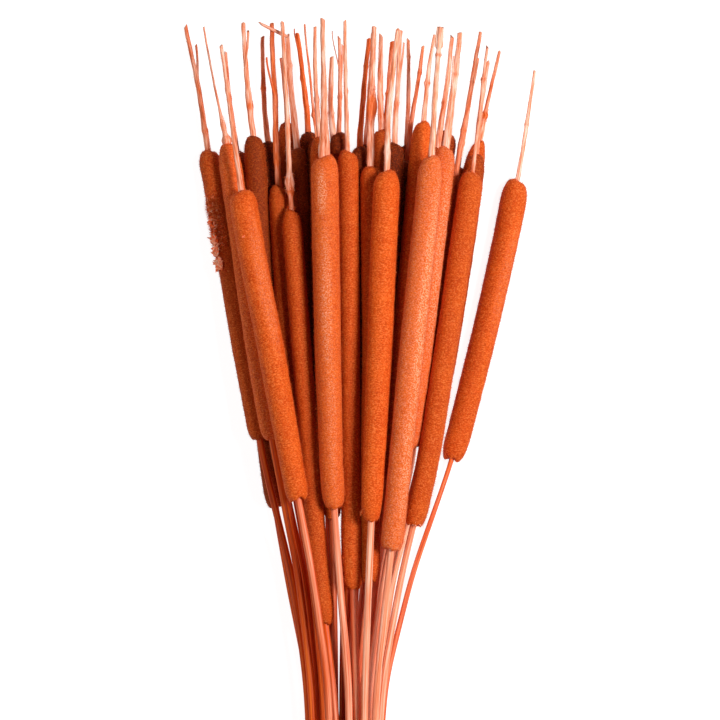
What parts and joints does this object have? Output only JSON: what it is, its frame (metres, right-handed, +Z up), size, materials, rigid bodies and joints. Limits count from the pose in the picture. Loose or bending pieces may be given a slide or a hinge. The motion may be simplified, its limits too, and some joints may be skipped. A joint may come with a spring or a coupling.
{
  "type": "bunch of cattail stems",
  "caption": "Loose fan-shaped bunch of dried, dyed cattails lying down: felt-like seed heads, thin bare tips and smooth bare stalks.",
  "frame": {"origin": "centre of the bounding box in plan, at the surface that the bunch lies on", "axes": "+Y from the cut ends to the bare tips, +Z up from the surface, +X across the fan"},
  "size_m": [0.2274, 0.7, 0.0618],
  "materials": {
    "cattail": "matt, dense short plant fibres dyed orange-red",
    "stalk": "satin dried stalk dyed orange, paler where it catches light",
    "bare_tip": "dull dried fibres dyed salmon and orange"
  },
  "bodies": {
    "root": {"cattail_01": "cattail", "cattail_02": "cattail", "cattail_03": "cattail", "cattail_04": "cattail", "cattail_05": "cattail", "cattail_06": "cattail", "cattail_07": "cattail", "cattail_08": "cattail", "cattail_09": "cattail", "cattail_10": "cattail", "cattail_11": "cattail", "cattail_12": "cattail", "cattail_13": "cattail", "cattail_14": "cattail", "cattail_15": "cattail", "cattail_16": "cattail", "cattail_17": "cattail", "cattail_18": "cattail", "cattail_19": "cattail", "cattail_20": "cattail", "cattail_21": "cattail", "cattail_22": "cattail", "cattail_23": "cattail", "cattail_24": "cattail", "cattail_25": "cattail", "cattail_26": "cattail", "cattail_27": "cattail", "cattail_28": "cattail", "cattail_29": "cattail", "cattail_30": "cattail", "cattail_31": "cattail", "cattail_32": "cattail", "cattail_33": "cattail", "cattail_34": "cattail", "cattail_35": "cattail", "cattail_36": "cattail", "cattail_37": "cattail"}
  },
  "joints": []
}
